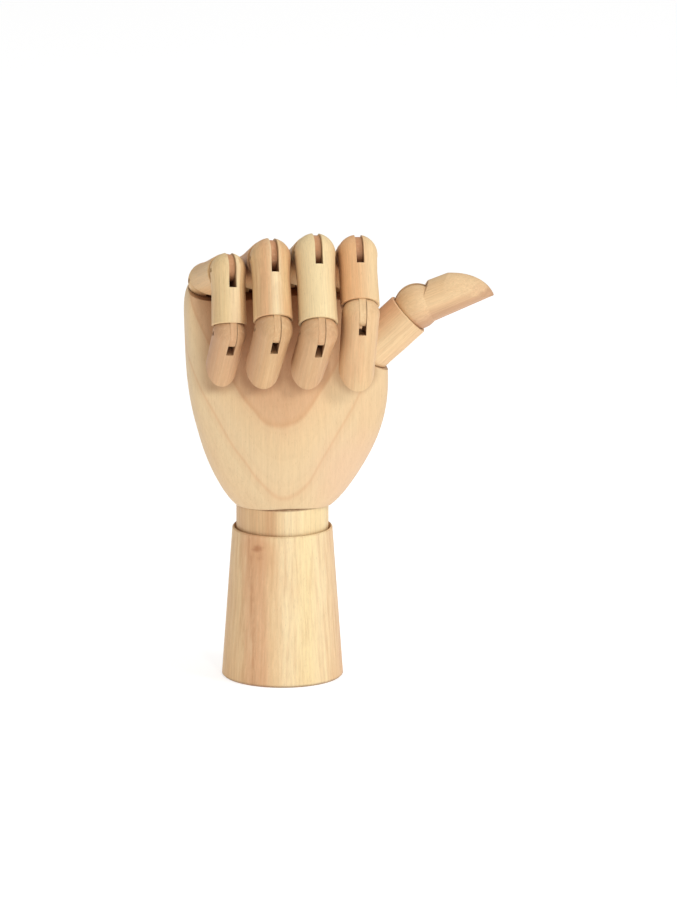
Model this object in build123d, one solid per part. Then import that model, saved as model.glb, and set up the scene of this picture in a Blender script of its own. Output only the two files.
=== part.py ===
from build123d import *
import math
import os

# Articulated wooden artist's hand on a turned base, right hand, palm side to -Y,
# thumb to +X. Millimetres, +Z up, origin at the centre of the base's bottom face.

# ---------------------------------------------------------------- base and wrist
BASE_R_BOTTOM = 24.2
BASE_R_TOP = 20.0
BASE_H = 61.0
BASE_EDGE = 0.6
WRIST_C = 75.4            # height of the centre that the wrist tilts about
DOME_R = 24.0             # turned underside of the neck ring
CUP_GAP = 0.15            # running clearance in the base's cup
RING_R = 18.4
RING_Z1 = 71.8            # upper edge of the neck ring
CROWN_R = 42.0            # crowned upper face that the palm is dished for
SEAT_R = 33.0             # spherical underside of the base's web
BORE_R = 15.5             # bore from below for spring and nut
ROD_R = 2.5
ROD_Z0 = 17.0
ROD_Z1 = 92.0
PLUG_T = 4.0              # turned plug that closes the bore, flush with the bottom
PASSAGE_R = 7.8           # opening in the web that lets the rod swing
SEAT_T = 2.0              # dished washer that follows the side tilt only
SEAT_OUT = 11.0
SEAT_HOLE = 6.5
CAP_R = 9.5               # spring cap, dished to slide under the washer
CAP_Z0 = 37.2
WASHER_R = 7.0
SPRING_R = 5.6            # mean radius of the coil
WIRE_R = 0.8
SPRING_Z0 = 24.0
SPRING_TURNS = 5.5

# ---------------------------------------------------------------- finger joints
PIN_R = 1.0
PIN_GAP = 0.05            # running clearance of pin in tongue
TONGUE_T = 2.8            # thickness of a tongue
SLOT_T = 3.0              # width of the slot it enters
BALL_GAP = 0.15           # clearance between ball and scooped socket
RIM_OUT = 0.20            # a rim stands this much proud of the ball
G = 0.50                  # rim plane lies G*R before the pin
S = 0.88                  # slot end lies S*R beyond the pin
NOTCH = 44.0              # palmar notch wall, degrees from the segment's axis
NOTCH_TIP = 38.0          # the same in a finger's last segment
NOTCH_KNUCKLE = 37.0      # and at the knuckle
PIN_IN = 0.6              # a pin's head lies this deep
PIN_BLIND = 1.8           # wood left over the pin's blind end
RELIEF = 0.42             # palmar relief of a finger rim, in radii
MORTISE = 5.5             # depth of a mortise below the rim
TIP_WIDE = 1.72           # bluntness of a fingertip seen from its back
THUMB_WIDE = 1.24

# name: pin position x,y,z of the knuckle; azimuth and lean of the finger's plane;
# directions of the three segments, degrees from vertical; pin distances;
# ball radii; body radii at the start and at the rim of each segment; slot ends of
# the middle and last joints; sideways set of the last segment, degrees
FINGERS = {
    "little": dict(c=(-30.2, 1.5, 162.3), az=4.8, lean=5.5, th=(69.0, 157.0, 205.0),
                   L=(29.5, 25.5, 21.9), R=(7.6, 7.2, 6.8),
                   rho=((7.4, 7.15), (7.05, 6.7), (6.65, 6.3)), s2=1.08, s3=0.85, skew=0.0),
    "ring": dict(c=(-12.5, 2.5, 163.8), az=1.6, lean=5.5, th=(66.0, 146.0, 201.0),
                 L=(34.0, 30.3, 23.8), R=(8.4, 8.3, 7.7),
                 rho=((8.2, 8.1), (8.0, 7.55), (7.5, 7.15)), s2=1.0, s3=0.84, skew=4.5),
    "middle": dict(c=(6.2, 2.8, 164.5), az=0.0, lean=4.5, th=(66.0, 144.6, 210.0),
                   L=(36.0, 33.8, 24.7), R=(8.5, 8.3, 7.65),
                   rho=((8.3, 8.1), (8.1, 7.6), (7.5, 7.1)), s2=0.88, s3=0.85, skew=4.2),
    "index": dict(c=(25.7, 2.0, 161.3), az=-3.0, lean=2.6, th=(62.0, 141.0, 179.0),
                  L=(34.5, 26.2, 29.9), R=(8.4, 8.1, 7.6),
                  rho=((8.2, 8.0), (7.9, 7.6), (7.5, 7.2)), s2=0.85, s3=0.91, skew=1.8),
}
PALM_TILT = 12.0          # knuckle sockets lean this much to the palm side

# thumb: it bends in a nearly frontal plane, its palmar side up
THUMB_C = (35.9, -3.0, 133.3)
THUMB_SOCKET = 60.0       # direction of its socket above horizontal
THUMB_DIR = (43.0, 22.5)  # directions of its two segments above horizontal
THUMB_FWD = 10.0          # its plane is turned this much to the palm side
THUMB_WALL = ((26.2, 128.0), (34.6, 148.5), (36.2, 170.0))   # x,z of the palm's side above it
THUMB_L = (24.4, 30.2)
THUMB_R = (9.3, 9.2)
THUMB_RHO = ((9.2, 9.35), (8.1, 7.7))

# palm outline: z, left x, right x, front y, back y, corner exponent
PALM = [
    (69.0, -16.6, 17.0, -17.2, 17.0, 2.1),
    (72.6, -20.9, 22.3, -17.9, 17.6, 2.18),
    (78.5, -25.0, 27.4, -17.9, 17.4, 2.32),
    (87.0, -29.3, 33.0, -17.7, 17.0, 2.5),
    (97.0, -32.9, 38.0, -17.4, 16.1, 2.65),
    (108.0, -35.9, 41.2, -16.8, 14.9, 2.8),
    (120.0, -38.0, 42.3, -15.8, 14.0, 2.95),
    (132.0, -38.9, 41.8, -15.0, 13.8, 3.1),
    (144.0, -39.2, 40.4, -13.8, 13.9, 3.3),
    (154.0, -39.0, 37.6, -11.4, 13.7, 3.6),
    (161.5, -36.4, 33.8, -7.6, 12.6, 3.6),
]
# upper face of the palm between the sockets: x and height in the plane y = 0
PALM_TOP = ((-60.0, 159.6), (-46.0, 159.0), (-38.0, 158.7), (-30.0, 158.3), (-12.6, 159.0), (6.2, 159.5), (25.7, 156.8),
            (36.0, 155.9), (46.0, 155.2), (60.0, 154.6))


def add(a, b, k=1.0):
    return tuple(p + k * q for p, q in zip(a, b))


def finger_axes(az, lean):
    """Pin axis, straight-up direction and palmar direction of a finger's plane."""
    az, lean = math.radians(az), math.radians(lean)
    side = (math.cos(az), math.sin(az), 0.0)
    palmar = (math.sin(az), -math.cos(az), 0.0)
    up = add(tuple(math.cos(lean) * u for u in (0.0, 0.0, 1.0)), side, math.sin(lean))
    pin = add(tuple(math.cos(lean) * u for u in side), (0.0, 0.0, 1.0), -math.sin(lean))
    return pin, up, palmar


def direction(up, palmar, deg):
    t = math.radians(deg)
    return add(tuple(math.cos(t) * u for u in up), palmar, math.sin(t))


def place(shape, origin, pin, along):
    """Moves a shape from its own frame (pin axis X, length Z, back of hand +Y)."""
    return Plane(origin=origin, x_dir=pin, z_dir=along).location * shape


def prism(points, width):
    """Closed outline of (y, z) points, extruded symmetrically along X."""
    wire = Polyline(*[(0, y, z) for y, z in points], close=True)
    face = make_face(wire)
    return extrude(face, amount=width / 2, dir=(1, 0, 0), both=True)


def tongue(R, depth, flush=False):
    """Flat tongue: round end about the pin, stem in the mortise. A flush one fills its slot nearly
    to the ball's surface and falls off steeply before the slot's end."""
    r = 0.72 * R
    back = 0.90 * R
    z0 = -G * R - depth
    with BuildSketch(Plane.YZ) as sk:
        with BuildLine():
            Line((-0.62 * R, z0), (back, z0))
            if flush:
                z1 = -math.sqrt(0.93 ** 2 - 0.90 ** 2) * R
                Line((back, z0), (back, z1))
                ThreePointArc((back, z1), (0.93 * R * math.cos(0.3), 0.93 * R * math.sin(0.3)), (0.533 * R, 0.762 * R))
                Line((0.533 * R, 0.762 * R), (0.294 * R, 0.808 * R))
                Line((0.294 * R, 0.808 * R), (0.02 * R, 0.48 * R))
                ThreePointArc((0.02 * R, 0.48 * R), (-0.40 * R, 0.34 * R), (-0.62 * R, 0.0))
            else:
                Line((back, z0), (back, 0.05 * R))
                ThreePointArc((back, 0.05 * R), (0.66 * R, 0.50 * R), (0.10 * R, r))
                ThreePointArc((0.10 * R, r), (-0.42 * R, 0.55 * R), (-0.62 * R, 0.0))
            Line((-0.62 * R, 0.0), (-0.62 * R, z0))
        make_face()
    plate = extrude(sk.sketch, amount=TONGUE_T / 2, both=True)
    return plate


def stem(R, depth):
    """Solid that the tongue's stem takes out of the piece it is glued in."""
    z0 = -G * R - depth
    return prism([(-0.62 * R, z0), (0.90 * R, z0), (0.90 * R, 0.3 * R), (-0.62 * R, 0.3 * R)], TONGUE_T)


def pin_hole(r, x0, x1):
    return Pos((x0 + x1) / 2, 0, 0) * (Rotation(0, 90, 0) * Cylinder(r, x1 - x0))


def pin_solid(R):
    """Driven in from one side of the ball, so its far end is blind."""
    return pin_hole(PIN_R, -(R - PIN_IN), R - PIN_BLIND)


def ball_start(body, R, s, notch=NOTCH):
    """Slot, palmar notch and pin hole at the pin end of a segment."""
    body -= Pos(0, 0, s * R / 2 - R) * Box(SLOT_T, 4 * R, s * R + 2 * R)
    far = 4.0 * R
    w = math.radians(notch)
    wedge = prism([(0.0, 0.0), (-far * math.sin(w), far * math.cos(w)), (-far, -0.2 * R), (-0.2 * R, -0.2 * R)],
                  4 * R)
    body -= wedge - Sphere(R)
    body -= pin_hole(PIN_R, -2 * R, R - PIN_BLIND)
    return body


def segment(R, rho0, rho1, L, R1, relief, s=S, notch=NOTCH):
    """Segment from its ball to the scooped rim that takes the next ball."""
    z0 = math.sqrt(R * R - rho0 * rho0)
    z1 = L - G * R1
    out = R1 + RIM_OUT
    e = 0.3
    taper = max(z1 - 2.2 * R1, z0 + 0.3 * (z1 - z0))
    prof = Polyline((0, -R), (0, z1), (out - e, z1), (out, z1 - e), (rho1, taper), (rho0, z0))
    arc = ThreePointArc((rho0, z0), (R * math.cos(math.radians(-30)), R * math.sin(math.radians(-30))), (0, -R))
    face = make_face(Plane.XZ * (prof + arc))
    body = revolve(face, Axis.Z)
    body = ball_start(body, R, s, notch)
    body -= Pos(0, 0, L) * Sphere(R1 + BALL_GAP)
    if relief:
        body -= Pos(0, 0, L) * palmar_relief(R1, relief)
    body -= Pos(0, 0, L) * stem(R1, MORTISE)
    return body


def palmar_relief(R, relief):
    """Bevel on the palmar side of a rim, so that the next segment bends to a right angle."""
    g = G * R
    return prism([(-0.45 * R, -g), (-1.6 * R, -g - 1.15 * relief * 2.0 * R), (-1.6 * R, 0.8 * R), (-0.45 * R, 0.8 * R)],
                 4 * R)


def fingertip(R, rho0, rho1, L, s, notch, wide, skew=0.0):
    """Last segment: straight back, rounded pad that runs down to the tip."""
    z0 = math.sqrt(R * R - rho0 * rho0)
    prof = Polyline((0, -R), (0, L), (rho1 * 0.97, L), (rho0, z0))
    arc = ThreePointArc((rho0, z0), (R * math.cos(math.radians(-30)), R * math.sin(math.radians(-30))), (0, -R))
    body = revolve(make_face(Plane.XZ * (prof + arc)), Axis.Z)
    zc = 0.13 * L
    pad = scale(Sphere(1.0), by=(wide * rho0, 2.13 * rho0, 0.867 * L))
    pad = Pos(0, 0.90 * rho0, zc) * pad
    low = Pos(0, 0, -R) * Cylinder(2 * R, 2 * (R + zc + 0.12 * L))
    upper = body - low
    lower = body & low
    tip = upper & pad
    body = Rotation(0, -skew, 0) * (lower + tip)
    return ball_start(body, R, s, notch)


def superellipse(z, xl, xr, yf, yb, n, count=40):
    """Closed section with rounded corners that lie at the same points of every section."""
    cx, cy = (xl + xr) / 2, (yf + yb) / 2
    a, b = (xr - xl) / 2, (yb - yf) / 2
    pts = []
    for i in range(count):
        t = 2 * math.pi * i / count
        c, s = math.cos(t), math.sin(t)
        r = (abs(c) ** n + abs(s) ** n) ** (-1 / n)
        pts.append((cx + a * r * c, cy + b * r * s, z))
    return Spline(*pts, periodic=True)


def palm_block():
    return loft([make_face(superellipse(*row)) for row in PALM])


nodes = {}


def build():
    # ------------------------------------------------------------- base
    base = revolve(make_face(Plane.XZ * Polyline(
        (0, 0), (BASE_R_BOTTOM - BASE_EDGE, 0), (BASE_R_BOTTOM, BASE_EDGE), (BASE_R_TOP, BASE_H - 0.5),
        (BASE_R_TOP - 0.4, BASE_H), (0, BASE_H), close=True)), Axis.Z)
    base -= Pos(0, 0, WRIST_C) * Sphere(DOME_R + CUP_GAP)
    bore = Pos(0, 0, 30) * Cylinder(BORE_R, 60)
    base -= bore - (Pos(0, 0, WRIST_C) * Sphere(SEAT_R))
    base -= Pos(0, 0, 50) * Cylinder(PASSAGE_R, 40)
    nodes["base"] = base
    plug = Pos(0, 0, PLUG_T / 2) * Cylinder(BORE_R, PLUG_T)
    nodes["base_plug"] = chamfer(plug.edges().group_by(Axis.Z)[-1], 0.5)

    # ------------------------------------------------------------- neck ring
    crown_z = RING_Z1 - math.sqrt(CROWN_R ** 2 - (RING_R - 0.5) ** 2)
    ring = Pos(0, 0, 60) * Cylinder(RING_R, 40)
    ring = ring & (Pos(0, 0, WRIST_C) * Sphere(DOME_R))
    ring = ring & (Pos(0, 0, crown_z) * Sphere(CROWN_R))
    ring -= Pos(0, 0, 60) * Cylinder(ROD_R + PIN_GAP, 60)
    nodes["neck_ring"] = ring

    # ------------------------------------------------------------- rod, spring, washers, nut
    rod = Pos(0, 0, (ROD_Z0 + ROD_Z1) / 2) * Cylinder(ROD_R, ROD_Z1 - ROD_Z0)
    nodes["wrist_rod"] = rod
    seat_out = SEAT_R + CUP_GAP + SEAT_T
    seat = (Pos(0, 0, 38) * Cylinder(SEAT_OUT, 20)) & (Pos(0, 0, WRIST_C) * Sphere(seat_out))
    seat -= Pos(0, 0, WRIST_C) * Sphere(SEAT_R + CUP_GAP)
    seat -= Pos(0, 0, 40) * Cylinder(SEAT_HOLE, 30)
    nodes["seat_washer"] = seat
    cap = Pos(0, 0, CAP_Z0 + 4) * Cylinder(CAP_R, 8)
    cap -= Pos(0, 0, WRIST_C) * Sphere(seat_out + CUP_GAP)
    cap -= Pos(0, 0, 40) * Cylinder(ROD_R + PIN_GAP, 20)
    nodes["spring_cap"] = cap
    washer = Pos(0, 0, 23.2) * Cylinder(WASHER_R, 1.6) - Pos(0, 0, 23.2) * Cylinder(ROD_R, 4)
    nodes["spring_washer"] = washer
    nut = extrude(Pos(0, 0, 18.4) * RegularPolygon(4.6, 6), amount=4.0) - Pos(0, 0, 20) * Cylinder(ROD_R, 10)
    nodes["wrist_nut"] = nut
    length = CAP_Z0 - SPRING_Z0 - 2 * WIRE_R
    helix = Pos(0, 0, SPRING_Z0 + WIRE_R) * Helix(pitch=length / SPRING_TURNS, height=length, radius=SPRING_R)
    prof = Plane(origin=helix @ 0, z_dir=helix % 0) * Circle(WIRE_R)
    spring = sweep(prof, path=helix, is_frenet=True)
    nodes["wrist_spring"] = spring

    # ------------------------------------------------------------- palm
    palm = palm_block()
    palm -= Pos(0, 0, crown_z) * Sphere(CROWN_R + 0.12)
    t = math.radians(PALM_TILT)
    outline = Spline(*[(x, 0, z) for x, z in PALM_TOP])
    outline += Polyline((60, 0, PALM_TOP[-1][1]), (60, 0, 200), (-60, 0, 200), (-60, 0, PALM_TOP[0][1]))
    palm -= extrude(make_face(outline), amount=50, dir=(0, math.cos(t), math.sin(t)), both=True)
    names = ["little", "ring", "middle", "index"]
    frames = {}
    for name in names:
        f = FINGERS[name]
        pin, up, palmar = finger_axes(f["az"], f["lean"])
        frames[name] = (pin, up, palmar)
        axis = direction(up, palmar, PALM_TILT)
        R = f["R"][0]
        palm -= place(Sphere(R + BALL_GAP), f["c"], pin, axis)
        palm -= place(stem(R, MORTISE), f["c"], pin, axis)
        nodes[f"{name}_knuckle_tongue"] = place(tongue_with_hole(R), f["c"], pin, axis)

    # thumb socket
    tp, t_axis = thumb_pin(), thumb_dir(THUMB_SOCKET)
    R = THUMB_R[0]
    cut = Pos(0, 0, -G * R + 30) * Box(80, 90, 60)
    palm -= place(cut, THUMB_C, tp, t_axis) & thumb_region()
    palm -= place(Sphere(R + BALL_GAP), THUMB_C, tp, t_axis)
    palm -= place(stem(R, MORTISE), THUMB_C, tp, t_axis)
    nodes["thumb_base_tongue"] = place(tongue_with_hole(R), THUMB_C, tp, t_axis)
    palm -= Pos(0, 0, ROD_Z1 / 2) * Cylinder(ROD_R, ROD_Z1)
    nodes["palm"] = palm

    # ------------------------------------------------------------- fingers
    for name in names:
        f = FINGERS[name]
        pin, up, palmar = frames[name]
        c = f["c"]
        for k, part in enumerate(("proximal", "middle", "tip")):
            d = direction(up, palmar, f["th"][k])
            R, L = f["R"][k], f["L"][k]
            rho0, rho1 = f["rho"][k]
            if part == "tip":
                body = fingertip(R, rho0, rho1, L, f["s3"], NOTCH_TIP, TIP_WIDE, f["skew"])
            else:
                body = segment(R, rho0, rho1, L, f["R"][k + 1], RELIEF if k == 0 else 0.0,
                               s=f["s2"] if k == 1 else S, notch=NOTCH_KNUCKLE if k == 0 else NOTCH)
            nodes[f"{name}_{part}"] = place(body, c, pin, d)
            nodes[f"{name}_pin_{k + 1}"] = place(pin_solid(R), c, pin, d)
            print(f"JOINT {name} {k + 1} pos {tuple(round(v, 4) for v in c)} axis {tuple(round(v, 6) for v in pin)}")
            if part != "tip":
                c = add(c, d, L)
                joint = ("proximal", "middle")[k]
                nodes[f"{name}_{joint}_tongue"] = place(tongue_with_hole(f["R"][k + 1], k == 1), c, pin, d)

    # ------------------------------------------------------------- thumb
    c = THUMB_C
    d = thumb_dir(THUMB_DIR[0])
    body = segment(THUMB_R[0], *THUMB_RHO[0], THUMB_L[0], THUMB_R[1], 0.0)
    nodes["thumb_proximal"] = place(body, c, tp, d)
    nodes["thumb_pin_1"] = place(pin_solid(THUMB_R[0]), c, tp, d)
    print(f"JOINT thumb 1 pos {c} axis {tuple(round(v, 6) for v in tp)}")
    c = add(c, d, THUMB_L[0])
    nodes["thumb_proximal_tongue"] = place(tongue_with_hole(THUMB_R[1]), c, tp, d)
    d = thumb_dir(THUMB_DIR[1])
    body = fingertip(THUMB_R[1], *THUMB_RHO[1], THUMB_L[1], 0.85, NOTCH, THUMB_WIDE)
    nodes["thumb_tip"] = place(body, c, tp, d)
    nodes["thumb_pin_2"] = place(pin_solid(THUMB_R[1]), c, tp, d)
    print(f"JOINT thumb 2 pos {tuple(round(v, 4) for v in c)} axis {tuple(round(v, 6) for v in tp)}")


def tongue_with_hole(R, flush=False):
    return tongue(R, MORTISE, flush) - pin_hole(PIN_R + PIN_GAP, -5, 5)


def thumb_pin():
    """Pin axis of both thumb joints."""
    f = math.radians(THUMB_FWD)
    return (-math.sin(f), -math.cos(f), 0.0)


def thumb_dir(deg):
    """Direction in the plane that the thumb bends in, degrees above horizontal."""
    a, f = math.radians(deg), math.radians(THUMB_FWD)
    return (math.cos(a) * math.cos(f), -math.cos(a) * math.sin(f), math.sin(a))


def thumb_region():
    """Corner of the palm that is cut away beside and above the thumb's socket."""
    outline = [(x, 0, z) for x, z in THUMB_WALL] + [(90, 0, 170), (90, 0, 90), (26.2, 0, 90)]
    return extrude(make_face(Polyline(*outline, close=True)), amount=60, dir=(0, 1, 0), both=True)


build()
os.makedirs("parts", exist_ok=True)
for name, shape in nodes.items():
    solids = shape.solids() if hasattr(shape, "solids") else [shape]
    out = solids[0] if len(solids) == 1 else Compound(children=list(solids))
    out.label = name
    export_step(out, f"parts/{name}.step")
    print(name, len(solids), round(sum(s.volume for s in solids), 1))
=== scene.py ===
import math
import bpy
from mathutils import Matrix, Vector

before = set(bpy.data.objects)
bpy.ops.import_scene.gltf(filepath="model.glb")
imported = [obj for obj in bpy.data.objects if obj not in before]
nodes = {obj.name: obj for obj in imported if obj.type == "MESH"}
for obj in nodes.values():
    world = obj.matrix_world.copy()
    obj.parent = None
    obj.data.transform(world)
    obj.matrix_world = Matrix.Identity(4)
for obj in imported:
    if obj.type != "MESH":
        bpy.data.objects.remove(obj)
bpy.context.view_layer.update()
scene = bpy.context.scene


# ------------------------------------------------------------------ small helpers
def rgb(*c):
    """0-255 display colour to linear."""
    out = []
    for v in c:
        v /= 255.0
        out.append(v / 12.92 if v <= 0.04045 else ((v + 0.055) / 1.055) ** 2.4)
    return (*out, 1.0)


class Tree:
    """Shorthand for building a material's node tree."""

    def __init__(self, name):
        self.mat = bpy.data.materials.new(name)
        self.mat.use_nodes = True
        self.nt = self.mat.node_tree
        self.nt.nodes.clear()

    def node(self, kind, **props):
        n = self.nt.nodes.new(kind)
        for k, v in props.items():
            setattr(n, k, v)
        return n

    def link(self, a, b):
        self.nt.links.new(a, b)

    def put(self, socket, value):
        if isinstance(value, bpy.types.NodeSocket):
            self.link(value, socket)
        else:
            socket.default_value = value

    def math(self, op, a, b=0.0, c=0.0, clamp=False):
        n = self.node("ShaderNodeMath", operation=op, use_clamp=clamp)
        for s, v in zip(n.inputs, (a, b, c)):
            self.put(s, v)
        return n.outputs[0]

    def vmath(self, op, a, b=(0, 0, 0), scale=None):
        n = self.node("ShaderNodeVectorMath", operation=op)
        self.put(n.inputs[0], a)
        self.put(n.inputs[1], b)
        if scale is not None:
            self.put(n.inputs["Scale"], scale)
        return n.outputs["Value"] if op in ("LENGTH", "DOT_PRODUCT", "DISTANCE") else n.outputs["Vector"]

    def mapping(self, vec, loc=(0, 0, 0), rot=(0, 0, 0), scale=(1, 1, 1)):
        n = self.node("ShaderNodeMapping", vector_type="POINT")
        self.link(vec, n.inputs["Vector"])
        n.inputs["Location"].default_value = loc
        n.inputs["Rotation"].default_value = rot
        n.inputs["Scale"].default_value = scale
        return n.outputs[0]

    def noise(self, vec, scale=1.0, detail=2.0, rough=0.5, lac=2.0, distort=0.0, out="Fac"):
        n = self.node("ShaderNodeTexNoise", noise_dimensions="3D")
        self.link(vec, n.inputs["Vector"])
        n.inputs["Scale"].default_value = scale
        n.inputs["Detail"].default_value = detail
        n.inputs["Roughness"].default_value = rough
        n.inputs["Lacunarity"].default_value = lac
        n.inputs["Distortion"].default_value = distort
        return n.outputs[out]

    def ramp(self, fac, stops, mode="LINEAR"):
        n = self.node("ShaderNodeValToRGB")
        n.color_ramp.interpolation = mode
        e = n.color_ramp.elements
        while len(e) < len(stops):
            e.new(0.5)
        for el, (p, c) in zip(e, stops):
            el.position = p
            el.color = c if hasattr(c, "__len__") else (c, c, c, 1.0)
        self.link(fac, n.inputs[0])
        return n.outputs[0]

    def remap(self, v, a, b, c=0.0, d=1.0, smooth=True):
        n = self.node("ShaderNodeMapRange", interpolation_type="SMOOTHSTEP" if smooth else "LINEAR")
        self.link(v, n.inputs["Value"])
        for k, x in zip(("From Min", "From Max", "To Min", "To Max"), (a, b, c, d)):
            n.inputs[k].default_value = x
        return n.outputs[0]

    def mix(self, fac, a, b, blend="MIX"):
        n = self.node("ShaderNodeMix", data_type="RGBA", blend_type=blend)
        self.put(n.inputs[0], fac)
        self.put(n.inputs[6], a)
        self.put(n.inputs[7], b)
        return n.outputs[2]


def basis(x, z):
    """Rotation whose rows are a piece's own axes: x across, y to the back, z along the grain."""
    z = Vector(z).normalized()
    x = Vector(x)
    x = (x - z * x.dot(z)).normalized()
    y = z.cross(x)
    return Matrix((x, y, z))


def wood(name, origin, x, z, zones, half=9.0, turn=0.0, rings=5.0, ring_amount=0.24, pith=(4.0, 38.0),
         tilt=(0.02, 0.05), seed=0, streak=0.32, blotch=0.30, warp=1.5, dark=(186, 134, 90), pink=(222, 160, 116),
         zone_kind="across", extra=None, rough=0.52, zone_warp=2.2, fibre_amount=1.6, span=None, crevice_shade_amount=1.0, reach=0.011,
         depth=((0.0, 0.94), (0.13, 0.84), (0.25, 0.42), (0.40, 0.12), (0.62, 0.03), (0.85, 0.0))):
    """Unfinished pale hardwood, cut as one solid piece. Colour zones, growth rings about a distant pith, fibre streaks,
    pores, blotches, polished ridges, worn edges lightened also as a painted highlight, and painted shade in crevices
    and gaps between parts. Lengths inside are millimetres of the real piece."""
    t = Tree(name)
    tc = t.node("ShaderNodeTexCoord")
    R = basis(x, z)
    loc = -(R @ Vector(origin)) * 1000.0
    own = t.mapping(tc.outputs["Object"], loc=loc, rot=R.to_euler("XYZ"), scale=(1000.0,) * 3)
    s = seed * 17.31
    # slow wander of the grain
    wander = t.noise(t.mapping(own, loc=(s, s * 0.7, s * 1.3), scale=(0.045, 0.045, 0.011)), detail=2.0, out="Color")
    wander = t.vmath("SCALE", t.vmath("SUBTRACT", wander, (0.5, 0.5, 0.5)), scale=2.0 * warp)
    p = t.vmath("ADD", own, wander)
    sp = t.node("ShaderNodeSeparateXYZ")
    t.link(p, sp.inputs[0])
    px, py, pz = sp.outputs
    # growth rings: cones about a pith far outside the piece
    xx = t.math("MULTIPLY_ADD", pz, tilt[0], t.math("ADD", px, -pith[0]))
    yy = t.math("MULTIPLY_ADD", pz, tilt[1], t.math("ADD", py, -pith[1]))
    cx = t.node("ShaderNodeCombineXYZ")
    t.link(xx, cx.inputs[0])
    t.link(yy, cx.inputs[1])
    r = t.vmath("LENGTH", cx.outputs[0])
    rv = t.node("ShaderNodeCombineXYZ")
    t.link(r, rv.inputs[0])
    width_var = t.noise(t.mapping(rv.outputs[0], loc=(s, 0, 0), scale=(0.11, 1, 1)), detail=2.0)
    phase = t.math("ADD", t.math("DIVIDE", r, rings), t.math("MULTIPLY", width_var, 1.6))
    frac = t.math("FRACT", phase)
    ring = t.ramp(frac, [(0.0, 0.0), (0.45, 0.12), (0.8, 0.55), (0.93, 1.0), (1.0, 0.0)])
    fine_rings = t.ramp(t.math("FRACT", t.math("MULTIPLY", phase, 3.0)), [(0.0, 0.2), (0.7, 0.5), (0.95, 0.9), (1.0, 0.2)])
    ring_vis = t.remap(t.noise(t.mapping(own, loc=(s * 2, 3, s), scale=(0.09, 0.09, 0.018)), detail=2.0), 0.3, 0.7, 0.35, 1.0)
    ring = t.math("MULTIPLY", ring, ring_vis)
    # fibres, streaks, pores, blotches
    fibre = t.noise(t.mapping(own, loc=(s, 5, 2), scale=(2.9, 2.9, 0.055)), detail=5.0, rough=0.62)
    line = t.noise(t.mapping(own, loc=(s, 9, s), scale=(0.75, 0.75, 0.0060)), detail=3.0, rough=0.5)
    mottle = t.noise(t.mapping(own, loc=(1, s, 4), scale=(0.075, 0.075, 0.028)), detail=3.0, rough=0.55)
    grit = t.noise(t.mapping(own, loc=(s, 1, 1), scale=(0.9, 0.9, 0.30)), detail=4.0, rough=0.65)
    pore = t.remap(t.noise(t.mapping(own, loc=(s, 7, s), scale=(6.5, 6.5, 0.42)), detail=1.0), 0.665, 0.76, 0.0, 1.0)
    fleck = t.remap(t.noise(t.mapping(own, loc=(8, s, s), scale=(1.1, 4.5, 0.9)), detail=1.0), 0.66, 0.78, 0.0, 1.0)

    # zones of colour that run with the rings or across the piece
    if zone_kind == "across":
        a = math.radians(turn)
        u = t.math("MULTIPLY_ADD", px, math.cos(a), t.math("MULTIPLY", py, math.sin(a)))
        soft = t.math("MULTIPLY", t.math("SUBTRACT", line, 0.5), zone_warp * 2.0)
        zone = t.remap(t.math("ADD", u, soft), -half, half, 0.0, 1.0, smooth=False)
    elif zone_kind == "cathedral":
        # cones of growth cut by the face: nested U and V bands open upwards
        ax = t.math("ADD", px, 4.0)
        ay = t.math("ADD", py, 31.0)
        c2 = t.node("ShaderNodeCombineXYZ")
        t.link(ax, c2.inputs[0])
        t.link(ay, c2.inputs[1])
        cone = t.vmath("LENGTH", c2.outputs[0])
        zone_mm = t.math("MULTIPLY_ADD", cone, -1.8, pz)
        zone = t.remap(zone_mm, span[0], span[1], 0.0, 1.0, smooth=False)
        ring = t.math("MULTIPLY", t.ramp(t.math("FRACT", t.math("MULTIPLY", zone_mm, -1.0 / rings)),
                                         [(0.0, 0.0), (0.5, 0.2), (0.86, 0.7), (0.95, 1.0), (1.0, 0.0)]), ring_vis)
    zcol = t.ramp(zone, [(q, rgb(*c)) for q, c in zones], "EASE" if zone_kind == "across" else "LINEAR")

    col = t.mix(t.math("MULTIPLY", t.remap(line, 0.42, 0.72), 0.55 * streak), zcol, rgb(*dark), "MIX")
    col = t.mix(t.math("MULTIPLY", t.remap(line, 0.5, 0.3), 0.30 * streak), col, rgb(255, 236, 190), "MIX")
    col = t.mix(t.math("MULTIPLY", t.remap(mottle, 0.48, 0.75), blotch), col, rgb(*pink), "MIX")
    col = t.mix(t.math("MULTIPLY", ring, ring_amount * 0.55), col, rgb(*dark), "MIX")
    col = t.mix(t.math("MULTIPLY", fine_rings, ring_amount * 0.10), col, rgb(*dark), "MIX")
    tone = t.remap(fibre, 0.25, 0.75, 1.0 - 0.085 * fibre_amount, 1.0 + 0.06 * fibre_amount, smooth=False)
    tone = t.math("MULTIPLY", tone, t.remap(grit, 0.25, 0.75, 0.965, 1.03, smooth=False))
    col = t.mix(1.0, col, t.vmath("SCALE", (1, 1, 1), scale=tone), "MULTIPLY")
    col = t.mix(t.math("MULTIPLY", pore, 0.30), col, rgb(150, 100, 62), "MIX")
    col = t.mix(t.math("MULTIPLY", fleck, 0.10), col, rgb(250, 226, 182), "MIX")
    if extra:
        col = extra(t, own, col, line, grit)
    # worn, slightly burnished edges, lightened in colour both as wear and as a painted highlight along the rims
    bev = t.node("ShaderNodeBevel", samples=4)
    bev.inputs["Radius"].default_value = 0.00035
    geo = t.node("ShaderNodeNewGeometry")
    edge_wear_and_highlight = t.remap(t.vmath("DOT_PRODUCT", bev.outputs[0], geo.outputs["Normal"]), 0.995, 0.86)
    edge_wear_and_highlight = t.math("MULTIPLY", edge_wear_and_highlight, t.remap(grit, 0.3, 0.6, 0.45, 1.0))
    col = t.mix(t.math("MULTIPLY", edge_wear_and_highlight, 0.30), col, rgb(250, 222, 172), "MIX")
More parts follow.
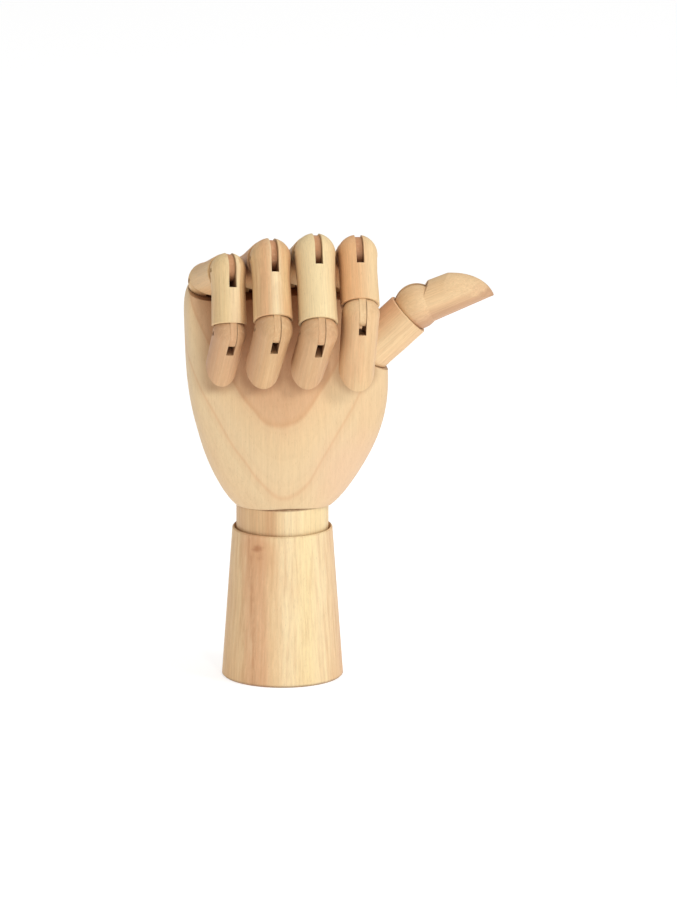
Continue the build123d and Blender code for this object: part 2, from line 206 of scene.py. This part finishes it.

    # painted shade: ambient occlusion darkens crevices, slots and gaps between neighbouring parts to deep brown
    ao = t.node("ShaderNodeAmbientOcclusion", samples=6)
    ao.inputs["Distance"].default_value = reach
    crevice_shade = t.ramp(ao.outputs["AO"], depth)
    col = t.mix(t.math("MULTIPLY", crevice_shade, crevice_shade_amount), col, rgb(112, 60, 32), "MIX")

    rough_v = t.math("MULTIPLY_ADD", fibre, 0.16, rough - 0.10)
    rough_v = t.math("MULTIPLY_ADD", pore, 0.12, rough_v)
    rough_v = t.math("MULTIPLY_ADD", edge_wear_and_highlight, -0.06, rough_v)
    height = t.math("MULTIPLY_ADD", ring, 0.35, t.math("MULTIPLY", fibre, 0.75))
    height = t.math("MULTIPLY_ADD", pore, -0.55, height)
    height = t.math("MULTIPLY_ADD", grit, 0.30, height)
    bump = t.node("ShaderNodeBump")
    bump.inputs["Strength"].default_value = 0.30
    bump.inputs["Distance"].default_value = 0.00012
    t.link(height, bump.inputs["Height"])
    t.link(bev.outputs[0], bump.inputs["Normal"])
    b = t.node("ShaderNodeBsdfPrincipled")
    t.link(col, b.inputs["Base Color"])
    t.link(rough_v, b.inputs["Roughness"])
    t.link(bump.outputs[0], b.inputs["Normal"])
    b.inputs["Specular IOR Level"].default_value = 0.32
    o = t.node("ShaderNodeOutputMaterial")
    t.link(b.outputs[0], o.inputs[0])
    return t.mat


def steel(name, colour, rough, scratch, seed):
    """Turned or drawn steel: directional fine scratches, faint stain."""
    t = Tree(name)
    tc = t.node("ShaderNodeTexCoord")
    own = t.mapping(tc.outputs["Object"], loc=(seed, seed * 2, 0), scale=(1000.0,) * 3)
    a = t.noise(t.mapping(own, scale=scratch), detail=4.0, rough=0.6)
    m = t.noise(t.mapping(own, scale=(0.5, 0.5, 0.5)), detail=3.0)
    col = t.mix(t.remap(m, 0.4, 0.75, 0.0, 0.5), rgb(*colour), rgb(*[int(v * 0.72) for v in colour]))
    col = t.mix(t.remap(a, 0.55, 0.8, 0.0, 0.35), col, rgb(120, 112, 100))
    bump = t.node("ShaderNodeBump")
    bump.inputs["Strength"].default_value = 0.2
    bump.inputs["Distance"].default_value = 0.00003
    t.link(a, bump.inputs["Height"])
    b = t.node("ShaderNodeBsdfPrincipled")
    b.inputs["Metallic"].default_value = 1.0
    t.link(col, b.inputs["Base Color"])
    t.link(t.math("MULTIPLY_ADD", a, 0.22, rough), b.inputs["Roughness"])
    t.link(bump.outputs[0], b.inputs["Normal"])
    o = t.node("ShaderNodeOutputMaterial")
    t.link(b.outputs[0], o.inputs[0])
    return t.mat


def finish_with(node, material):
    me = nodes[node].data
    me.materials.clear()
    me.materials.append(material)


# ------------------------------------------------------------------ where the pieces are (mm, degrees)
FINGERS = {
    "little": dict(c=(-30.2, 1.5, 162.3), az=4.8, lean=5.5, th=(69.0, 157.0, 205.0), L=(29.5, 25.5, 21.9)),
    "ring": dict(c=(-12.5, 2.5, 163.8), az=1.6, lean=5.5, th=(66.0, 146.0, 201.0), L=(34.0, 30.3, 23.8)),
    "middle": dict(c=(6.2, 2.8, 164.5), az=0.0, lean=4.5, th=(66.0, 144.6, 210.0), L=(36.0, 33.8, 24.7)),
    "index": dict(c=(25.7, 2.0, 161.3), az=-3.0, lean=2.6, th=(62.0, 141.0, 179.0), L=(34.5, 26.2, 29.9)),
}
PALM_TILT = 12.0
THUMB_C = (35.9, -3.0, 133.3)
THUMB_DIR = (43.0, 22.5)
THUMB_SOCKET = 60.0
THUMB_FWD = 10.0
THUMB_L = (24.4, 30.2)


def finger_axes(az, lean):
    az, lean = math.radians(az), math.radians(lean)
    side = Vector((math.cos(az), math.sin(az), 0.0))
    palmar = Vector((math.sin(az), -math.cos(az), 0.0))
    up = Vector((0, 0, 1)) * math.cos(lean) + side * math.sin(lean)
    pin = side * math.cos(lean) - Vector((0, 0, 1)) * math.sin(lean)
    return pin, up, palmar


def thumb_dir(deg):
    a, f = math.radians(deg), math.radians(THUMB_FWD)
    return Vector((math.cos(a) * math.cos(f), -math.cos(a) * math.sin(f), math.sin(a)))


CREAM = (247, 222, 176)
YELLOW = (248, 224, 172)
TAN = (232, 194, 142)
PEACH = (232, 184, 136)
ORANGE = (227, 173, 121)
PINKISH = (226, 178, 138)
BROWN = (196, 146, 100)

# colour zones of each segment, from its left to its right side
LOOK = {
    "little_proximal": dict(zones=[(0, TAN), (0.5, PEACH), (1, TAN)], seed=1, rings=4.2, blotch=0.3),
    "little_middle": dict(zones=[(0, TAN), (0.3, (238, 208, 156)), (0.62, CREAM), (0.8, TAN), (1, (238, 200, 152))], seed=2, rings=2.6,
                          ring_amount=0.35, streak=0.42, tilt=(0.01, 0.02)),
    # painted shade: this fingertip is coloured darker overall and at both sides, as a downward-facing tip in shade
    "little_tip": dict(zones=[(0, (202, 156, 118)), (0.5, (216, 174, 131)), (1, (204, 159, 118))], seed=3, blotch=0.4, rings=3.4),
    "ring_proximal": dict(zones=[(0, PEACH), (0.5, TAN), (1, PEACH)], seed=4),
    "ring_middle": dict(zones=[(0, TAN), (0.28, PEACH), (0.5, CREAM), (0.72, TAN), (1, PEACH)], seed=5, rings=3.6,
                        ring_amount=0.28, tilt=(0.05, 0.1)),
    # painted shade: this fingertip is coloured darker overall and at both sides, as a downward-facing tip in shade
    "ring_tip": dict(zones=[(0, (200, 154, 114)), (0.45, (218, 178, 131)), (1, (203, 160, 116))], seed=6, blotch=0.35, rings=4.4),
    "middle_proximal": dict(zones=[(0, TAN), (0.5, CREAM), (1, TAN)], seed=7),
    "middle_middle": dict(zones=[(0, (241, 214, 165)), (0.5, (244, 220, 170)), (1, (242, 214, 166))], seed=8, rings=5.2,
                          ring_amount=0.16, blotch=0.08, streak=0.22),
    # painted shade: this fingertip is coloured darker overall and at both sides, as a downward-facing tip in shade
    "middle_tip": dict(zones=[(0, (203, 160, 118)), (0.5, (219, 179, 134)), (1, (205, 162, 121))], seed=9, blotch=0.3, rings=3.8),
    "index_proximal": dict(zones=[(0, PEACH), (0.5, TAN), (1, TAN)], seed=10),
    "index_middle": dict(zones=[(0, (240, 187, 136)), (0.36, (238, 186, 134)), (0.56, (236, 194, 144)), (0.74, (242, 210, 162)), (1, (238, 206, 156))], seed=11,
                         rings=6.0, ring_amount=0.16, streak=0.22, blotch=0.15),
    "index_tip": dict(zones=[(0, (222, 180, 132)), (0.4, (236, 202, 154)), (1, (228, 188, 142))], seed=12, blotch=0.35, rings=5.0, streak=0.24),
    "thumb_proximal": dict(zones=[(0, (230, 184, 142)), (0.45, (240, 210, 164)), (1, (234, 196, 150))], seed=13,
                           blotch=0.2, rings=6.0, ring_amount=0.14, streak=0.2),
    # the thumb tip's zones run from its top to its underside; the underside is painted darker as shade
    "thumb_tip": dict(zones=[(0, (234, 200, 154)), (0.42, (236, 202, 156)), (0.6, (230, 192, 148)), (0.78, (208, 166, 130)), (1, (196, 152, 118))], seed=14, blotch=0.12, crevice_shade_amount=0.7, rings=6.5,
                      ring_amount=0.14, streak=0.2),
}


def seg_wood(name, origin, x, z, **over):
    look = dict(LOOK.get(name, {}))
    look.update(over)
    return wood("wood_" + name, [v / 1000.0 for v in origin], x, z, **look)


# tongues are a darker pinkish brown, partly end grain and partly painted shade of the slots they sit in
TONGUE_ZONES = [(0, (214, 162, 120)), (0.5, (206, 152, 110)), (1, (218, 168, 126))]

for f, d in FINGERS.items():
    pin, up, palmar = finger_axes(d["az"], d["lean"])
    c = Vector(d["c"])
    seeds = {"little": 31, "ring": 37, "middle": 43, "index": 53}[f]
    t12 = math.radians(PALM_TILT)
    axis = up * math.cos(t12) + palmar * math.sin(t12)
    finish_with(f"{f}_knuckle_tongue", seg_wood(f"{f}_knuckle_tongue", c, pin, axis, zones=TONGUE_ZONES, seed=seeds,
                                                half=2.0, rings=2.2, ring_amount=0.35, streak=0.45))
    for k, part in enumerate(("proximal", "middle", "tip")):
        th = math.radians(d["th"][k])
        along = up * math.cos(th) + palmar * math.sin(th)
        finish_with(f"{f}_{part}", seg_wood(f"{f}_{part}", c, pin, along))
        if part != "tip":
            c = c + along * d["L"][k]
            # the last joint's tongue is finished flush with the fingertip and shares its colour, painted shade included
            own = dict(LOOK[f"{f}_tip"]) if part == "middle" else dict(zones=TONGUE_ZONES, half=2.0, rings=2.4)
            own.update(seed=seeds + k + 1, ring_amount=0.30, streak=0.40)
            finish_with(f"{f}_{part}_tongue", seg_wood(f"{f}_{part}_tongue", c, pin, along, **own))

tpin = Vector((-math.sin(math.radians(THUMB_FWD)), -math.cos(math.radians(THUMB_FWD)), 0))
c = Vector(THUMB_C)
finish_with("thumb_base_tongue", seg_wood("thumb_base_tongue", c, tpin, thumb_dir(THUMB_SOCKET), zones=TONGUE_ZONES,
                                          seed=61, half=2.0, rings=2.2))
finish_with("thumb_proximal", seg_wood("thumb_proximal", c, tpin, thumb_dir(THUMB_DIR[0]), turn=90.0))
c = c + thumb_dir(THUMB_DIR[0]) * THUMB_L[0]
finish_with("thumb_proximal_tongue", seg_wood("thumb_proximal_tongue", c, tpin, thumb_dir(THUMB_DIR[0]),
                                              zones=TONGUE_ZONES, seed=62, half=2.0, rings=2.2))
finish_with("thumb_tip", seg_wood("thumb_tip", c, tpin, thumb_dir(THUMB_DIR[1]), turn=90.0))

# palm: flat-sawn block, nested U bands, pinker at its lower right
def palm_extra(t, own, col, line, grit):
    lower_right = t.math("SUBTRACT", 1.0, t.remap(t.vmath("DISTANCE", own, (26.0, -8.0, 84.0)), 8.0, 26.0), clamp=True)
    col = t.mix(t.math("MULTIPLY", lower_right, 0.30), col, rgb(236, 196, 172))
    # painted shade on the palm's front below and around the curled fingertips
    sp = t.node("ShaderNodeSeparateXYZ")
    t.link(own, sp.inputs[0])
    fingertip_shade = None
    for x, z in ((-28.8, 129.5), (-11.3, 129.0), (6.8, 129.0), (27.2, 127.5)):
        c = t.node("ShaderNodeCombineXYZ")
        t.link(t.math("SUBTRACT", sp.outputs[0], x), c.inputs[0])
        t.link(t.math("MAXIMUM", t.math("SUBTRACT", z, sp.outputs[2]), 0.0), c.inputs[1])
        g = t.remap(t.vmath("LENGTH", c.outputs[0]), 12.0, 7.2, 0.0, 1.0)
        fingertip_shade = g if fingertip_shade is None else t.math("MAXIMUM", fingertip_shade, g)
    front = t.math("MULTIPLY", t.remap(sp.outputs[1], -8.5, -12.5, 0.0, 1.0), t.remap(sp.outputs[2], 150.0, 134.0, 0.35, 1.0))
    fingertip_shade = t.math("MULTIPLY", t.math("MULTIPLY", fingertip_shade, front), t.remap(grit, 0.3, 0.7, 0.42, 0.54))
    return t.mix(fingertip_shade, col, rgb(150, 94, 56))


PALM_LO, PALM_HI = 0.0, 130.0


def at(f):
    return (f - PALM_LO) / (PALM_HI - PALM_LO)


finish_with("palm", wood("wood_palm", (0, 0, 0), (1, 0, 0), (0, 0, 1),
                         zones=[(at(0), (228, 194, 152)), (at(28), (232, 200, 156)), (at(47), (234, 205, 161)),
                                (at(51.3), (232, 200, 156)), (at(52.9), (227, 188, 144)), (at(54.4), (233, 202, 158)),
                                (at(60), (235, 206, 162)), (at(70), (236, 205, 159)), (at(78.0), (235, 201, 155)),
                                (at(79.6), (222, 176, 131)), (at(82.0), (226, 184, 140)), (at(104), (219, 173, 130)),
                                (at(130), (208, 161, 118))],
                         span=(PALM_LO, PALM_HI), zone_kind="cathedral", rings=9.5, ring_amount=0.10, seed=21, streak=0.10,
                         # reach and depth spread the painted crevice shade wider over the palm under the fingers
                         blotch=0.10, warp=3.2, fibre_amount=0.75, extra=palm_extra, reach=0.034,
                         depth=((0.0, 0.96), (0.2, 0.80), (0.38, 0.50), (0.58, 0.22), (0.76, 0.05), (0.92, 0.0))))


def base_extra(t, own, col, line, grit):
    # small knot near the rim, left of the middle
    v = t.vmath("SUBTRACT", own, (-13.1, -15.6, 55.6))
    sc = t.vmath("MULTIPLY", v, (1.0, 1.0, 1.8))
    sc2 = t.vmath("MULTIPLY", t.vmath("SUBTRACT", v, (1.8, 0.0, -3.4)), (1.2, 1.2, 0.9))
    wob = t.vmath("SCALE", t.vmath("SUBTRACT", t.noise(t.mapping(own, scale=(0.32, 0.32, 0.40)), detail=2.5, out="Color"),
                                   (0.5, 0.5, 0.5)), scale=3.6)
    d = t.math("MINIMUM", t.vmath("LENGTH", t.vmath("ADD", sc, wob)),
               t.math("ADD", t.vmath("LENGTH", t.vmath("ADD", sc2, wob)), 0.9))
    knot = t.remap(d, 3.9, 0.5, 0.0, 0.66)
    halo = t.remap(d, 12.0, 2.5, 0.0, 0.42)
    col = t.mix(halo, col, rgb(214, 158, 112))
    col = t.mix(knot, col, rgb(176, 112, 70))
    sp = t.node("ShaderNodeSeparateXYZ")
    t.link(own, sp.inputs[0])
    # reddish gum streaks that run down from the knot
    for x, w, amount in ((-15.2, 1.5, 0.34), (-18.6, 0.9, 0.22)):
        off = t.math("MULTIPLY_ADD", t.math("SUBTRACT", line, 0.5), 3.0, t.math("SUBTRACT", sp.outputs[0], x))
        g = t.remap(t.math("ABSOLUTE", off), w, 0.2, 0.0, amount)
        g = t.math("MULTIPLY", g, t.remap(t.noise(t.mapping(own, loc=(x, 0, 0), scale=(1.2, 1.2, 0.22)), detail=3.0),
                                          0.35, 0.62, 0.15, 1.0))
        g = t.math("MULTIPLY", g, t.remap(sp.outputs[1], 2.0, -4.0, 0.0, 1.0))
        col = t.mix(g, col, rgb(182, 116, 72))
    # darker along the bottom edge of the foot
    foot = t.remap(sp.outputs[2], 1.3, 0.4, 0.0, 1.0)
    return t.mix(t.math("MULTIPLY", foot, t.remap(grit, 0.3, 0.6, 0.35, 0.6)), col, rgb(122, 92, 68))


finish_with("base", wood("wood_base", (0, 0, 0), (1, 0, 0), (0, 0, 1),
                         zones=[(0.0, (228, 188, 138)), (0.10, (231, 196, 148)), (0.15, (227, 182, 138)), (0.25, (229, 182, 138)),
                                (0.33, (238, 203, 155)), (0.45, CREAM), (0.62, YELLOW), (0.76, CREAM), (0.88, (238, 204, 158)),
                                (1.0, (228, 186, 144))],
                         half=24.0, rings=3.4, ring_amount=0.24, pith=(90.0, 60.0), tilt=(0.0, 0.004), seed=22, streak=0.50,
                         blotch=0.16, warp=0.5, zone_warp=1.2, extra=base_extra, crevice_shade_amount=0.55, fibre_amount=1.1, dark=(204, 150, 102)))

def ring_extra(t, own, col, line, grit):
    # painted shadow line where the ring runs under the palm's edge
    sp = t.node("ShaderNodeSeparateXYZ")
    t.link(own, sp.inputs[0])
    palm_shadow_line = t.remap(sp.outputs[2], 70.75, 71.45, 0.0, 1.0)
    return t.mix(t.math("MULTIPLY", palm_shadow_line, t.remap(grit, 0.3, 0.6, 0.55, 0.8)), col, rgb(132, 84, 52))


finish_with("base_plug", wood("wood_base_plug", (0, 0, 0), (1, 0, 0), (0, 0, 1), zones=[(0, TAN), (1, PEACH)], seed=23,
                              half=16.0, rings=3.5))
finish_with("neck_ring", wood("wood_neck_ring", (0, 0, 0), (1, 0, 0), (0, 0, 1),
                              zones=[(0.0, (226, 186, 138)), (0.2, (226, 186, 138)), (0.29, (216, 170, 124)),
                                     (0.38, (236, 204, 156)), (0.46, CREAM), (0.7, YELLOW), (0.9, YELLOW), (1.0, TAN)],
                              half=19.0, rings=3.2, ring_amount=0.18, pith=(80.0, 50.0), tilt=(0.0, 0.004), seed=24, streak=0.40,
                              blotch=0.2, warp=0.5, zone_warp=1.2, crevice_shade_amount=0.6, dark=(202, 150, 104), extra=ring_extra))

pin_mat = steel("pin_steel", (176, 172, 166), 0.32, (2.0, 9.0, 9.0), 3)
zinc = steel("zinc_steel", (190, 190, 186), 0.30, (5.0, 5.0, 1.0), 5)
spring_mat = steel("spring_steel", (120, 118, 116), 0.28, (6.0, 6.0, 6.0), 7)
for n in nodes:
    if "_pin_" in n:
        finish_with(n, pin_mat)
for n in ("wrist_rod", "seat_washer", "spring_cap", "spring_washer", "wrist_nut"):
    finish_with(n, zinc)
finish_with("wrist_spring", spring_mat)

# ------------------------------------------------------------------ floor, light, camera
me = bpy.data.meshes.new("floor")
q = 6.0
me.from_pydata([(-q, -q, 0), (q, -q, 0), (q, q, 0), (-q, q, 0)], [], [(0, 1, 2, 3)])
floor = bpy.data.objects.new("floor", me)
scene.collection.objects.link(floor)
ft = Tree("floor_white")
fb = ft.node("ShaderNodeBsdfPrincipled")
fb.inputs["Base Color"].default_value = (0.60, 0.60, 0.60, 1)
fb.inputs["Emission Color"].default_value = (1, 1, 1, 1)
fb.inputs["Emission Strength"].default_value = 0.66
fb.inputs["Roughness"].default_value = 0.9
fb.inputs["Specular IOR Level"].default_value = 0.1
fo = ft.node("ShaderNodeOutputMaterial")
ft.link(fb.outputs[0], fo.inputs[0])
floor.data.materials.append(ft.mat)

world = bpy.data.worlds.new("studio")
scene.world = world
world.use_nodes = True
bg = world.node_tree.nodes["Background"]
bg.inputs[0].default_value = (1, 1, 1, 1)
bg.inputs[1].default_value = 0.40

A, E = math.radians(-11.0), math.radians(14.0)
back = Vector((math.sin(A) * math.cos(E), -math.cos(A) * math.cos(E), math.sin(E)))
right = Vector((math.cos(A), math.sin(A), 0.0))
upv = back.cross(right).normalized()
if upv.z < 0:
    upv = -upv


def area(name, place, aim, size, power, colour=(1, 1, 1)):
    li = bpy.data.lights.new(name, "AREA")
    li.shape = "DISK"
    li.size = size
    li.energy = power
    li.color = colour
    o = bpy.data.objects.new(name, li)
    o.location = place
    d = Vector(aim) - Vector(place)
    o.rotation_mode = "QUATERNION"
    o.rotation_quaternion = d.to_track_quat("-Z", "Y")
    scene.collection.objects.link(o)


area("key", (0.95, -0.75, 1.25), (0, 0, 0.10), 0.7, 8.0, (1.0, 0.99, 0.97))
area("front", (0.10, -1.58, 0.70), (0, 0, 0.12), 0.20, 5.5, (1.0, 0.99, 0.97))
area("fill", (-1.2, -1.0, 0.7), (0, 0, 0.10), 1.2, 0.8, (0.97, 0.985, 1.0))
area("top", (0.1, 0.1, 1.6), (0, 0, 0.1), 1.2, 4.0)

MM_PX = 0.40
aim = right * ((338.5 - 282.5) * MM_PX / 1000) + upv * ((673.0 - 461.5) * MM_PX / 1000)
cam = bpy.data.cameras.new("camera")
cam.sensor_width = 36.0
dist = 9.0
cam.lens = 36.0 * dist / (923 * MM_PX / 1000)
cam.clip_start, cam.clip_end = 0.1, 50.0
co = bpy.data.objects.new("camera", cam)
co.location = aim + back * dist
co.rotation_mode = "QUATERNION"
co.rotation_quaternion = Matrix((right, upv, back)).transposed().to_quaternion()
scene.collection.objects.link(co)
scene.camera = co
scene.view_settings.view_transform = "Standard"
scene.view_settings.look = "None"
